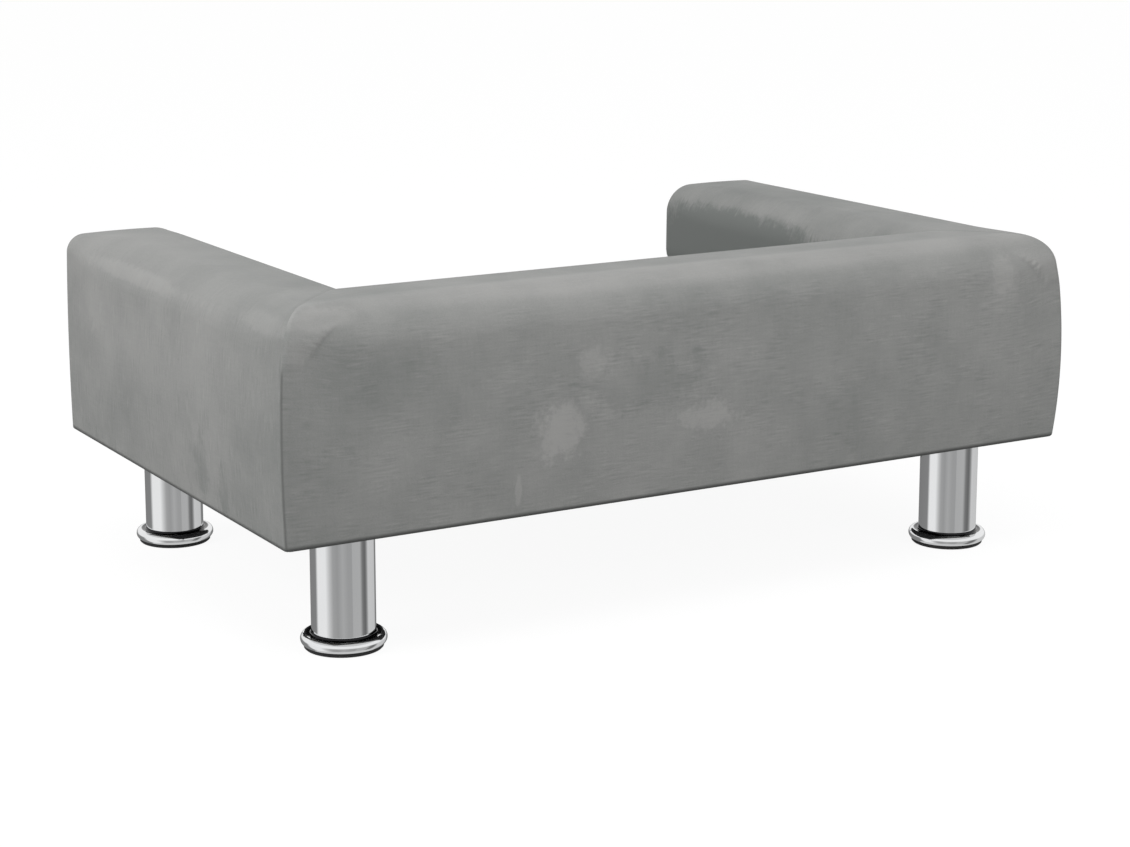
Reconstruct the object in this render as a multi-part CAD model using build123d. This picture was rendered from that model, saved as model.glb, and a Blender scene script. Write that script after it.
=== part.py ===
from build123d import *
import math
import os

# A low U-shaped dog sofa: padded back and arms of one height on a plywood base, four tube legs,
# and a loose seat cushion between the arms. Millimetres, +Z up. The origin lies on the floor under
# the middle of the sofa, the open front faces -Y, and left is +X, as for one who sits in it.

# Overall sizes
width = 700.0
depth = 450.0
height = 265.0
leg_height = 93.0
wall_thickness = 98.0

# Padded walls
side_bulge = 3.3
top_bulge = 2.0
front_bulge = 3.0
outer_edge_radius = 36.0
inner_edge_radius = 36.0
front_edge_radius = 10.0
cover_thickness = 1.6
cover_gap = 0.3
foam_outer = 12.0
foam_inner = 18.0
foam_top = 25.0
foam_front = 16.0
hem_width = 26.0

# Frame timber and boards
base_board_thickness = 15.0
rail_thickness = 18.0
panel_thickness = 3.0
back_post_shares = (-0.28, 0.28)
arm_post_share = 0.5
dust_cover_thickness = 0.6

# Seat deck
deck_padding = 6.5
deck_recess = 7.0
deck_edge_radius = 16.0
deck_side_gap = 0.3

# Legs
leg_inset_x = 68.5
leg_inset_rear = 53.0
leg_inset_front = 63.5
tube_radius = 24.0
tube_wall = 1.5
tube_edge_chamfer = 0.5
flange_radius = 32.0
flange_foot_radius = 30.0
flange_shoulder_radius = 29.2
flange_widest = 5.8
flange_shoulder = 11.4
flange_dish = 0.6
flange_neck_round = 1.6
spigot_length = 14.0
spigot_wall = 2.0
pad_radius = 29.5
pad_height = 3.0
pad_edge_chamfer = 0.8
pad_peg_radius = 4.0
pad_peg_length = 4.0
end_plate_thickness = 4.0
bolt_radius = 4.0
bolt_head_radius = 6.5
bolt_head_height = 5.3
bolt_end_gap = 1.0
insert_radius = 6.0
dust_hole_gap = 0.5

# Screws and staples
screw_radius = 2.0
screw_head_radius = 4.0
screw_head_height = 2.2
base_screw_length = 30.0
arm_screw_length = 38.0
base_screw_shares = (-0.42, -0.14, 0.14, 0.42)
arm_base_screw_shares = (0.12, 0.40, 0.72)
arm_screw_shares = (0.25, 0.75)
staple_width = 10.0
staple_wire = 0.9
staple_leg = 8.0
staple_pitch = 72.0
hem_staple_inset = 19.0
dust_staple_inset = 34.0

# Loose cushion
cushion_gap = 0.3
cushion_side_gap = 3.0
cushion_rear_gap = 8.0
cushion_front_inset = 5.0
cushion_band_height = 37.0
cushion_crown = 10.0
cushion_belly = 4.0
cushion_corner_radius = 30.0
cushion_side_draw = 5.0
crown_inset_shares = (0.075, 0.24, 0.6)
crown_rise_shares = (0.52, 0.86, 1.0)
belly_inset = 9.0

# Zip in the cushion's rear band
zip_end_margin = 29.0
zip_opening = 18.0
zip_split = 1.0
tape_thickness = 0.8
chain_height = 2.5
chain_proud = 1.4
zip_stop_length = 3.0
zip_foam_slot = 3.2
slider_length = 11.0
slider_plate = 1.2
slider_gap = 0.3
slider_flange = 1.3
slider_bridge = 0.6
slider_bridge_length = 3.0
slider_lug_length = 6.0
slider_lug_height = 2.6
slider_lug_width = 3.0
slider_lug_wall = 0.9
pull_length = 24.0
pull_width = 6.5
pull_thickness = 0.9
pull_eye_wall = 1.2
pull_corner_radius = 2.0

# One overrun for every cut
cut = 5.0

half_width = width / 2
half_depth = depth / 2

# Heights of the layers under the walls
hem_low = leg_height
board_low = hem_low + cover_thickness
board_top = board_low + base_board_thickness
dust_low = board_low - dust_cover_thickness
tube_low = flange_shoulder - flange_dish + flange_neck_round

# Inner edges of the layers in a wall, counted inwards from its outer face
lining = cover_thickness + cover_gap
frame_out = lining + foam_outer
frame_in = wall_thickness - lining - foam_inner
rail_out = frame_out + panel_thickness
rail_in = frame_in - panel_thickness
frame_top = height - lining - foam_top
frame_front = -half_depth + lining + foam_front
frame_rear = half_depth - frame_out
back_face = half_depth - frame_in
arm_face = half_width - frame_in
back_half = half_width - frame_out
well_half = half_width - wall_thickness
well_rear = half_depth - wall_thickness

# Seat deck and loose cushion: heights of the seams, outline, zip and the face of the rear band
seat_height = board_top + rail_thickness + deck_padding + lining
cushion_half = well_half - cushion_side_gap
cushion_rear = well_rear - cushion_rear_gap
cushion_front = -half_depth + cushion_front_inset
cushion_middle = (cushion_front + cushion_rear) / 2
band_low = seat_height + cushion_gap + cushion_belly
band_top = band_low + cushion_band_height
zip_middle = (band_low + band_top) / 2
zip_inside = cushion_rear - cover_thickness
zip_half = cushion_half - cushion_corner_radius - zip_end_margin
zip_half_opening = zip_opening / 2

# Crown radii from the height of each bulge
side_middle = (leg_height + height - outer_edge_radius) / 2
side_chord = (height - outer_edge_radius - leg_height) / 2
side_crown_radius = (side_chord**2 + side_bulge**2) / (2 * side_bulge)
front_crown_radius = (side_chord**2 + front_bulge**2) / (2 * front_bulge)
top_crown_radius = ((wall_thickness / 2) ** 2 + top_bulge**2) / (2 * top_bulge)

LOW = (Align.CENTER, Align.CENTER, Align.MIN)
SIDES = {"left": 1, "right": -1}
STEP_FOLDER = "parts"


def block(x0, x1, y0, y1, z0, z1):
    """A box between two corners, given in either order along X."""
    low_x, high_x = sorted((x0, x1))
    corner = Pos(low_x, y0, z0)
    return corner * Box(high_x - low_x, y1 - y0, z1 - z0, align=(Align.MIN, Align.MIN, Align.MIN))


def wall_profile(inset, foot):
    """Section of a padded wall: inwards from the outer face, and up. Three crowned circles cut
    by the inner face and the foot, with the two top edges rounded."""
    outer = Pos(side_crown_radius, side_middle) * Circle(side_crown_radius - inset)
    top = Pos(wall_thickness / 2, height - top_crown_radius) * Circle(top_crown_radius - inset)
    window_width = wall_thickness - inset + cut
    window_height = height - foot + cut
    window = Pos(wall_thickness - inset, foot) * Rectangle(
        window_width, window_height, align=(Align.MAX, Align.MIN)
    )
    profile = outer & top & window
    outer_top = profile.vertices().sort_by(Axis.Y)[-2:].sort_by(Axis.X)[0]
    profile = fillet(outer_top, outer_edge_radius - inset)
    inner_top = profile.vertices().group_by(Axis.X)[-1].sort_by(Axis.Y)[-1]
    return fillet(inner_top, inner_edge_radius - inset)


def region(*corners):
    """A prism over a region of the plan, as high as the walls."""
    return Pos(0, 0, leg_height - cut) * extrude(make_face(Polyline(*corners, close=True)), height)


def back_region():
    """The part of the plan that belongs to the back: its two slanted sides are the mitres."""
    corner = (half_width + cut, half_depth + cut)
    return region(corner, (0, half_depth - half_width), (-half_width - cut, half_depth + cut))


def arm_region(side):
    """The part of the plan that belongs to one arm, up to its mitre."""
    outer = side * (half_width + cut)
    front = -half_depth - cut
    return region((0, half_depth - half_width), (outer, half_depth + cut), (outer, front), (0, front))


def arm_form(side, inset, foot):
    """Padded form of one arm: the wall section drawn along Y, a crowned front, rounded front edges."""
    plane = Plane(origin=(side * half_width, 0, 0), x_dir=(-side, 0, 0), z_dir=(0, side, 0))
    run = extrude(plane * wall_profile(inset, foot), depth + cut, both=True)
    front_axis = Plane(origin=(0, -half_depth + front_crown_radius, side_middle), z_dir=(1, 0, 0))
    front_bow = front_axis * Cylinder(front_crown_radius - inset, 2 * width)
    solid = run & front_bow
    front = solid.faces().sort_by(Axis.Y)[0]
    above_foot = front.edges().sort_by(Axis.Z)[1:]
    solid = fillet(above_foot, front_edge_radius - inset)
    return solid & arm_region(side)


def back_form(inset, foot):
    """Padded form of the back: the wall section drawn along X, mitred at both ends."""
    plane = Plane(origin=(0, half_depth, 0), x_dir=(0, -1, 0), z_dir=(-1, 0, 0))
    run = extrude(plane * wall_profile(inset, foot), width, both=True)
    return run & back_region()


def board_room(low):
    """The room of the base board in plan, from one height up to its top."""
    return block(-back_half, back_half, frame_front, frame_rear, low, board_top)


def frame_core():
    """The room that the base board and the three wall frames take up inside the padding."""
    core = board_room(board_low) + block(-back_half, back_half, back_face, frame_rear, board_top, frame_top)
    for side in SIDES.values():
        core += block(side * back_half, side * arm_face, frame_front, back_face, board_top, frame_top)
    return core


def seat_region():
    """The well between the arms and the back, from the base board's underside up."""
    return block(-well_half, well_half, -half_depth - cut, well_rear, hem_low - cut, height + cut)


def padding(form):
    """Foam round the frame: the padded form less what the frame takes up."""
    return form - frame_core() - seat_region()


def wall_cover(outer, inner):
    """Fabric shell of a wall, open under the frame but for a hem along the outer edges."""
    shell = outer - inner
    shell -= block(
        -half_width + hem_width,
        half_width - hem_width,
        -half_depth + hem_width,
        half_depth - hem_width,
        hem_low - cut,
        board_low,
    )
    return shell - board_room(board_low)


def screw(length):
    """Countersunk screw standing on its head, from the head's face at zero upwards."""
    head = Cone(screw_head_radius, screw_radius, screw_head_height, align=LOW)
    return head + Cylinder(screw_radius, length, align=LOW)


def staple(x, y, along_x, low):
    """Staple pressed up into the board: a crown under the fabric and two legs."""
    half = (staple_width - staple_wire) / 2
    crown = Box(staple_width, staple_wire, staple_wire, align=LOW)
    legs = [Pos(s * half, 0, 0) * Box(staple_wire, staple_wire, staple_leg, align=LOW) for s in (-1, 1)]
    shape = crown + legs
    turn = 0 if along_x else 90
    return Pos(x, y, low - staple_wire) * Rot(0, 0, turn) * shape


def staple_row(inset, low):
    """Staples round the underside at one distance from the outer faces."""
    row = []
    for run, across, along_x in (
        (half_width - inset, half_depth - inset, True),
        (half_depth - inset, half_width - inset, False),
    ):
        count = int((2 * run - staple_width) / staple_pitch)
        for i in range(count):
            place = (2 * i + 1 - count) * run / (count + 1)
            for end in (-1, 1):
                x, y = (place, end * across) if along_x else (end * across, place)
                row.append(staple(x, y, along_x, low))
    return row


def foot_flange():
    """Spun metal foot: a rounded rim leaning inwards, a shallow dish with a small round up to the
    tube, and a spigot inside the tube."""
    spigot_out = tube_radius - tube_wall
    spigot_in = spigot_out - spigot_wall
    spigot_top = tube_low + spigot_length
    dish_low = tube_low - flange_neck_round
    dish_in = tube_radius + flange_neck_round
    neck_turn = flange_neck_round * (1 - math.sin(math.pi / 4))
    outline = [
        Line((pad_peg_radius, pad_height), (flange_foot_radius, pad_height)),
        ThreePointArc(
            (flange_foot_radius, pad_height),
            (flange_radius, flange_widest),
            (flange_shoulder_radius, flange_shoulder),
        ),
        Line((flange_shoulder_radius, flange_shoulder), (dish_in, dish_low)),
        ThreePointArc(
            (dish_in, dish_low), (tube_radius + neck_turn, dish_low + neck_turn), (tube_radius, tube_low)
        ),
        Polyline(
            (tube_radius, tube_low),
            (spigot_out, tube_low),
            (spigot_out, spigot_top),
            (spigot_in, spigot_top),
            (spigot_in, dish_low),
            (pad_peg_radius, dish_low),
            (pad_peg_radius, pad_height),
        ),
    ]
    return revolve(Plane.XZ * make_face(outline), Axis.Z)


def foot_pad():
    """Black foot pad: a disc with a soft lower edge and a peg pressed up into the flange."""
    disc = Cylinder(pad_radius, pad_height, align=LOW)
    disc = chamfer(disc.edges().sort_by(Axis.Z)[0], pad_edge_chamfer)
    return disc + Pos(0, 0, pad_height) * Cylinder(pad_peg_radius, pad_peg_length, align=LOW)


def cushion_outline(inset, z):
    """Cushion outline in plan at one height: straight at the rear, where the zip runs, and the other
    three sides drawn in between rounded corners."""
    x = cushion_half - inset
    rear = cushion_rear - inset
    front = cushion_front + inset
    middle = cushion_middle
    r = cushion_corner_radius
    bend = r * (1 - math.sin(math.pi / 4))
    outline = [
        Line((x - r, rear), (-x + r, rear)),
        ThreePointArc((-x + r, rear), (-x + bend, rear - bend), (-x, rear - r)),
        ThreePointArc((-x, rear - r), (-x + cushion_side_draw, middle), (-x, front + r)),
        ThreePointArc((-x, front + r), (-x + bend, front + bend), (-x + r, front)),
        ThreePointArc((-x + r, front), (0, front + cushion_side_draw), (x - r, front)),
        ThreePointArc((x - r, front), (x - bend, front + bend), (x, front + r)),
        ThreePointArc((x, front + r), (x - cushion_side_draw, middle), (x, rear - r)),
        ThreePointArc((x, rear - r), (x - bend, rear - bend), (x - r, rear)),
    ]
    return Pos(0, 0, z) * make_face(outline)


def cushion_form(inset):
    """Cushion form: a straight band, a crown lofted over it and a shallow belly under it."""
    band = extrude(cushion_outline(inset, band_low), cushion_band_height)
    rings = [cushion_outline(inset, band_top)]
    for step, rise in zip(crown_inset_shares, crown_rise_shares):
        ring_inset = inset + step * (cushion_rear - cushion_middle)
        rings.append(cushion_outline(ring_inset, band_top + rise * (cushion_crown - inset)))
    crown = loft(rings)
    lowest = cushion_outline(inset + belly_inset, band_low - cushion_belly + inset)
    belly = loft([lowest, cushion_outline(inset, band_low)], ruled=True)
    return belly + band + crown


def zip_strip(x0, x1, y0, y1, low, high):
    """Two mirrored bars above and below the zip's middle line."""
    upper = block(x0, x1, y0, y1, zip_middle + low, zip_middle + high)
    lower = block(x0, x1, y0, y1, zip_middle - high, zip_middle - low)
    return [upper, lower]


def zip_centred(x0, x1, y0, y1, half):
    """One bar across the zip's middle line."""
    return block(x0, x1, y0, y1, zip_middle - half, zip_middle + half)


def zip_slider_and_pull(tape_face, chain_face, chain_edge, closed_end):
    """Slider with a plate on each side of the tapes, flanges over the chains, a bridge between
    them and a lug on its face, and the flat pull tab that hangs in the lug."""
    x1 = closed_end - slider_gap
    x0 = x1 - slider_length
    front_low = chain_face + slider_gap
    front_top = front_low + slider_plate
    flange_in = chain_edge + slider_gap
    flange_out = flange_in + slider_flange
    back_top = zip_inside - slider_gap
    back_low = back_top - slider_plate
    slider = zip_centred(x0, x1, front_low, front_top, flange_out)
    slider += zip_centred(x0, x1, back_low, back_top, flange_out)
    slider += zip_centred(x1 - slider_bridge_length, x1, back_low, front_top, slider_bridge / 2)
    for flange in zip_strip(x0, x1, tape_face + slider_gap, front_low, flange_in, flange_out):
        slider += flange
    lug_x0 = (x0 + x1 - slider_lug_length) / 2
    lug_x1 = lug_x0 + slider_lug_length
    lug_top = front_top + slider_lug_height
    lug_half = slider_lug_width / 2
    slider += zip_centred(lug_x0, lug_x1, front_top, lug_top, lug_half)
    hole_x0 = lug_x0 + slider_lug_wall
    hole_x1 = lug_x1 - slider_lug_wall
    slider -= zip_centred(hole_x0, hole_x1, front_top, lug_top - slider_lug_wall, lug_half + cut)
    pull_low = front_top + slider_gap
    pull_top = pull_low + pull_thickness
    pull_end = hole_x1 - slider_gap
    pull = zip_centred(pull_end - pull_length, pull_end, pull_low, pull_top, pull_width / 2)
    pull = fillet(pull.edges().filter_by(Axis.Y), pull_corner_radius)
    pull -= zip_centred(
        lug_x0 - slider_gap, pull_end - pull_eye_wall, pull_low - cut, pull_top + cut, lug_half + slider_gap
    )
    return slider, pull


nodes = {}

# Frame timber
nodes["base_board"] = board_room(board_low)
rail_top_low = frame_top - rail_thickness
posts_low = board_top + rail_thickness
back_rail_front = half_depth - rail_in
back_rail_rear = half_depth - rail_out
for name, y0, y1, z0, z1 in (
    ("back_bottom_rail", back_rail_front, back_rail_rear, board_top, posts_low),
    ("back_top_rail", back_rail_front, back_rail_rear, rail_top_low, frame_top),
    ("back_inner_panel", back_face, back_rail_front, board_top, frame_top),
    ("back_outer_panel", back_rail_rear, frame_rear, board_top, frame_top),
):
    nodes[name] = block(-back_half, back_half, y0, y1, z0, z1)
end_post = back_half - rail_thickness / 2
inner_post = half_width - frame_in + panel_thickness + rail_thickness / 2
back_posts = [-end_post, -inner_post, inner_post, end_post]
back_posts += [share * back_half for share in back_post_shares]
nodes["back_posts"] = Compound(
    [
        block(
            x - rail_thickness / 2,
            x + rail_thickness / 2,
            back_rail_front,
            back_rail_rear,
            posts_low,
            rail_top_low,
        )
        for x in back_posts
    ]
)
for name, side in SIDES.items():
    outer = side * back_half
    rail_outer = side * (half_width - rail_out)
    rail_inner = side * (half_width - rail_in)
    inner = side * arm_face
    for piece, x0, x1, z0, z1 in (
        ("bottom_rail", rail_outer, rail_inner, board_top, posts_low),
        ("top_rail", rail_outer, rail_inner, rail_top_low, frame_top),
        ("outer_panel", outer, rail_outer, board_top, frame_top),
        ("inner_panel", rail_inner, inner, board_top, frame_top),
    ):
        nodes[f"{name}_arm_{piece}"] = block(x0, x1, frame_front, back_face, z0, z1)
    first = frame_front + rail_thickness / 2
    last = back_face - rail_thickness / 2
    nodes[name + "_arm_posts"] = Compound(
        [
            block(
                rail_outer,
                rail_inner,
                y - rail_thickness / 2,
                y + rail_thickness / 2,
                posts_low,
                rail_top_low,
            )
            for y in (first, first + arm_post_share * (last - first), last)
        ]
    )
deck_half = well_half - deck_side_gap
nodes["front_rail"] = block(
    -deck_half, deck_half, frame_front, frame_front + rail_thickness, board_top, posts_low
)

# Foam and covers of the walls
nodes["back_foam"] = padding(back_form(lining, board_low))
nodes["back_cover"] = wall_cover(back_form(0, hem_low), back_form(cover_thickness, board_low))
for name, side in SIDES.items():
    nodes[name + "_arm_foam"] = padding(arm_form(side, lining, board_low))
    nodes[name + "_arm_cover"] = wall_cover(
        arm_form(side, 0, hem_low), arm_form(side, cover_thickness, board_low)
    )

# Seat deck: foam on the board, foam over the front rail, one cover over both
deck_front = -half_depth + deck_recess
deck_rear = well_rear - deck_side_gap


def deck_form(inset, foot):
    """Deck between the arms, with its upper front edge rounded."""
    form = block(-deck_half, deck_half, deck_front + inset, deck_rear, foot, seat_height - inset)
    edge = form.edges().filter_by(Axis.X).sort_by(Axis.Z)[-2:].sort_by(Axis.Y)[0]
    return fillet(edge, deck_edge_radius - inset)


front_piece = block(-width, width, -half_depth, frame_front + rail_thickness, board_low, height)
deck_foam = deck_form(lining, board_low) - board_room(board_low - cut) - nodes["front_rail"]
nodes["front_rail_foam"] = deck_foam & front_piece
nodes["seat_foam"] = deck_foam - front_piece
seat_cover = deck_form(0, hem_low) - deck_form(cover_thickness, board_low)
seat_cover -= block(-width, width, -half_depth + hem_width, half_depth, hem_low - cut, board_low)
nodes["seat_cover"] = seat_cover

# Dust cover inside the hems
dust_edge = hem_width + cover_gap
nodes["dust_cover"] = block(
    -half_width + dust_edge,
    half_width - dust_edge,
    -half_depth + dust_edge,
    half_depth - dust_edge,
    dust_low,
    board_low,
)

# Legs, with a bolt in each leg and an insert nut in the board
leg_places = {
    "front_left": (half_width - leg_inset_x, -half_depth + leg_inset_front),
    "front_right": (-half_width + leg_inset_x, -half_depth + leg_inset_front),
    "rear_left": (half_width - leg_inset_x, half_depth - leg_inset_rear),
    "rear_right": (-half_width + leg_inset_x, half_depth - leg_inset_rear),
}
plate_low = dust_low - end_plate_thickness
bolts = []
inserts = []
for name, (x, y) in leg_places.items():
    tube = Cylinder(tube_radius, dust_low - tube_low, align=LOW)
    tube = chamfer(tube.edges().sort_by(Axis.Z)[0], tube_edge_chamfer)
    tube -= Cylinder(tube_radius - tube_wall, dust_low - tube_low, align=LOW)
    nodes["leg_tube_" + name] = Pos(x, y, tube_low) * tube
    plate = Cylinder(tube_radius - tube_wall, end_plate_thickness, align=LOW)
    plate -= Cylinder(bolt_radius, end_plate_thickness, align=LOW)
    nodes["leg_end_plate_" + name] = Pos(x, y, plate_low) * plate
    nodes["foot_flange_" + name] = Pos(x, y, 0) * foot_flange()
    nodes["foot_pad_" + name] = Pos(x, y, 0) * foot_pad()
    head = extrude(RegularPolygon(bolt_head_radius, 6), bolt_head_height)
    shank = Cylinder(bolt_radius, bolt_head_height + board_top - plate_low - bolt_end_gap, align=LOW)
    bolts.append(Pos(x, y, plate_low - bolt_head_height) * (head + shank))
    insert = Cylinder(insert_radius, base_board_thickness, align=LOW)
    insert -= Cylinder(bolt_radius, base_board_thickness, align=LOW)
    inserts.append(Pos(x, y, board_low) * insert)
    nodes["base_board"] -= Pos(x, y, board_low) * Cylinder(insert_radius, base_board_thickness, align=LOW)
    hole = Cylinder(bolt_radius + dust_hole_gap, dust_cover_thickness, align=LOW)
    nodes["dust_cover"] -= Pos(x, y, dust_low) * hole
nodes["leg_bolts"] = Compound(bolts)
nodes["insert_nuts"] = Compound(inserts)

# Screws up through the base board into the bottom rails
base_screws = []
for share in base_screw_shares:
    y = (back_rail_front + back_rail_rear) / 2
    base_screws.append(Pos(share * width, y, board_low) * screw(base_screw_length))
for side in SIDES.values():
    x = side * (half_width - (rail_out + rail_in) / 2)
    for share in arm_base_screw_shares:
        y = frame_front + share * (back_face - frame_front)
        base_screws.append(Pos(x, y, board_low) * screw(base_screw_length))
nodes["base_screws"] = Compound(base_screws)

# Screws through each arm's rear post into the posts of the back
arm_screws = []
for side in SIDES.values():
    for x in (end_post - rail_thickness / 4, inner_post):
        for share in arm_screw_shares:
            z = posts_low + share * (rail_top_low - posts_low)
            place = Pos(side * x, back_face - rail_thickness, z)
            arm_screws.append(place * Rot(-90, 0, 0) * screw(arm_screw_length))
nodes["arm_screws"] = Compound(arm_screws)

# Staples of the hems and of the dust cover
hem_staples = staple_row(hem_staple_inset, hem_low)
dust_staples = staple_row(dust_staple_inset, dust_low)
nodes["hem_staples"] = Compound(hem_staples)
nodes["dust_cover_staples"] = Compound(dust_staples)

# Every fastener sits in a hole of its own size
for piece in ("base_board", "back_bottom_rail", "left_arm_bottom_rail", "right_arm_bottom_rail"):
    nodes[piece] = nodes[piece] - base_screws
for piece in ("left_arm_posts", "right_arm_posts", "back_inner_panel", "back_posts"):
    nodes[piece] = nodes[piece] - arm_screws
nodes["base_board"] = nodes["base_board"] - hem_staples - dust_staples
nodes["dust_cover"] = nodes["dust_cover"] - dust_staples
for piece in ("back_cover", "left_arm_cover", "right_arm_cover", "seat_cover"):
    nodes[piece] = nodes[piece] - hem_staples

# Loose cushion, split at its seams into top panel, side band and bottom panel
shell = cushion_form(0) - cushion_form(cover_thickness)
above = block(-width, width, -depth, depth, band_top, height)
below = block(-width, width, -depth, depth, 0, band_low)
nodes["cushion_top_panel"] = shell & above
nodes["cushion_bottom_panel"] = shell & below
zip_slot = zip_centred(-zip_half, zip_half, zip_inside, cushion_rear + cut, zip_half_opening)
nodes["cushion_band"] = shell - above - below - zip_slot
slot_low = cushion_rear - lining - zip_foam_slot
nodes["cushion_foam"] = cushion_form(lining) - zip_centred(
    -zip_half, zip_half, slot_low, cushion_rear + cut, zip_half_opening
)

# Zip along the middle of the rear band: tapes in the opening, chains on them, a stop at each end
tape_face = zip_inside + tape_thickness
chain_face = tape_face + chain_proud
zip_gap = zip_split / 2
chain_edge = zip_gap + chain_height
chain_half = zip_half - zip_stop_length
nodes["zip_tapes"] = Compound(
    zip_strip(-zip_half, zip_half, zip_inside, tape_face, zip_gap, zip_half_opening)
)
nodes["zip_chains"] = Compound(
    zip_strip(-chain_half, chain_half, tape_face, chain_face, zip_gap, chain_edge)
)
nodes["zip_stops"] = Compound(
    [zip_centred(s * zip_half, s * chain_half, tape_face, chain_face, chain_edge) for s in (-1, 1)]
)
slider, pull = zip_slider_and_pull(tape_face, chain_face, chain_edge, chain_half)
nodes["zip_slider"] = slider
nodes["zip_pull"] = pull

os.makedirs(STEP_FOLDER, exist_ok=True)
for name, shape in nodes.items():
    export_step(shape, f"{STEP_FOLDER}/{name}.step")
print(len(nodes), "nodes")
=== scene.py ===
import math

import bmesh
import bpy
import numpy as np
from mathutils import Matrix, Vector


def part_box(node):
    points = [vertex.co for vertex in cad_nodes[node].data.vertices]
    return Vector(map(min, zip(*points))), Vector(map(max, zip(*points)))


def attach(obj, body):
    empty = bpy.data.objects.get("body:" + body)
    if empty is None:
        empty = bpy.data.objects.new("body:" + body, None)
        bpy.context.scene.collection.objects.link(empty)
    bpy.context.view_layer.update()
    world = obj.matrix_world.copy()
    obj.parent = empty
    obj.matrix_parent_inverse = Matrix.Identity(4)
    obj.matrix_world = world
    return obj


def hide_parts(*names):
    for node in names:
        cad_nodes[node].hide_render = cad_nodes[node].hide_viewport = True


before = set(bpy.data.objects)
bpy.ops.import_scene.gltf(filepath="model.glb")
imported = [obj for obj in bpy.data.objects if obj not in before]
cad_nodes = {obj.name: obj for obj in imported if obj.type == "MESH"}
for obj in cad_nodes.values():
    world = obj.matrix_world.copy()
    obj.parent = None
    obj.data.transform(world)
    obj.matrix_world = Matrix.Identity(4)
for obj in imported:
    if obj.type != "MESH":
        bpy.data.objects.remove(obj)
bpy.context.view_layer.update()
scene = bpy.context.scene
scene.view_settings.view_transform = "Standard"

# Camera: about 30 degrees round from straight behind, a little above the sofa, with a long lens
# from two metres away, as the photograph was taken. Sizes are in metres.
camera_place = (1.0355, 1.7857, 0.5823)
camera_turn = math.radians(30.288)
camera_tilt = math.radians(10.834)
camera = bpy.data.objects.new("camera", bpy.data.cameras.new("camera"))
camera.data.sensor_width = 36
camera.data.lens = 80.06
camera.data.shift_y = -0.09
camera.location = camera_place
level = math.cos(camera_tilt)
sight = Vector((-math.sin(camera_turn) * level, -math.cos(camera_turn) * level, -math.sin(camera_tilt)))
camera.rotation_euler = sight.to_track_quat("-Z", "Y").to_euler()
scene.collection.objects.link(camera)
scene.camera = camera


# Floor: a plain white studio floor, wide enough to fill the view from any side. The camera sees it
# white, less the sofa's own soft shadow. The chrome doesn't see it, and it throws back some light.
class Shade:
    """One socket of a material. Arithmetic on it adds Math nodes, and node() adds any other node from
    its type, its settings and the numbers, colours or links of its sockets."""

    def __init__(self, tree, socket=None):
        self.tree = tree
        self.socket = socket

    def node(self, kind, settings=None, sockets=None, output=0):
        """A new node, its settings first, and the socket that it gives."""
        made = self.tree.nodes.new("ShaderNode" + kind)
        for name, value in (settings or {}).items():
            if name == "stops":
                stops = made.color_ramp.elements
                stops.remove(stops[1])
                stops[0].position, stops[0].color = value[0][0], (*value[0][1], 1)
                for place, colour in value[1:]:
                    stops.new(place).color = (*colour, 1)
            else:
                setattr(made, name, value)
        for name, value in (sockets or {}).items():
            if isinstance(value, Shade):
                self.tree.links.new(value.socket, made.inputs[name])
            else:
                made.inputs[name].default_value = value
        return Shade(self.tree, made.outputs[output]) if made.outputs else None

    def maths(self, operation, *terms):
        return self.node("Math", {"operation": operation}, dict(enumerate(terms)))

    def __add__(self, other):
        return self.maths("ADD", self, other)

    def __sub__(self, other):
        return self.maths("SUBTRACT", self, other)

    def __rsub__(self, other):
        return self.maths("SUBTRACT", other, self)

    def __mul__(self, other):
        return self.maths("MULTIPLY", self, other)

    def step(self, low, high):
        """Smooth rise from 0 at low to 1 at high."""
        sockets = {"Value": self, "From Min": low, "From Max": high}
        return self.node("MapRange", {"interpolation_type": "SMOOTHSTEP"}, sockets)

    def between(self, first, second):
        """The mix of two colours by this share."""
        return self.node("Mix", {"data_type": "RGBA"}, {0: self, 6: first, 7: second}, output=2)

    def stretched(self, scales):
        """A place or pattern direction scaled along each axis."""
        return self.node("VectorMath", {"operation": "MULTIPLY"}, {0: self, 1: scales})

    def noise(self, scale, detail=2.0):
        """Soft cloudy pattern from 0 to 1 at this place."""
        return self.node("TexNoise", {}, {"Vector": self, "Scale": scale, "Detail": detail})

    def place(self):
        """The shaded point's place in the piece's own metres."""
        return self.node("TexCoord", output=3)

    def parts(self):
        """The X, Y and Z of this place."""
        split = self.node("SeparateXYZ", {}, {0: self}).socket.node
        return [Shade(self.tree, socket) for socket in split.outputs]

    def bump(self, strength, distance):
        """The surface's normal, tilted as if this were its height."""
        sockets = {"Strength": strength, "Distance": distance, "Height": self}
        return self.node("Bump", {}, sockets)

    def surface(self, sockets):
        """Ends the material's tree with one principled shader and its sockets."""
        self.node("OutputMaterial", {}, {"Surface": self.node("BsdfPrincipled", {}, sockets)})

    def plain(self, colours, roughness, bump=None, metallic=0.0, tint=None):
        """Ends a material's tree with this one pattern: it gives the colour between two, unless tint
        does, the roughness from a lowest value and a spread, and the bump."""
        sockets = {
            "Base Color": (tint or self).between(*colours),
            "Metallic": metallic,
            "Roughness": roughness[0] + self * roughness[1],
        }
        if bump:
            sockets["Normal"] = self.bump(*bump)
        self.surface(sockets)

    __radd__ = __add__
    __rmul__ = __mul__


def finish(name):
    """A new material and the start of its node tree."""
    material = bpy.data.materials.new(name)
    material.use_nodes = True
    material.node_tree.nodes.clear()
    return material, Shade(material.node_tree)


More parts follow.
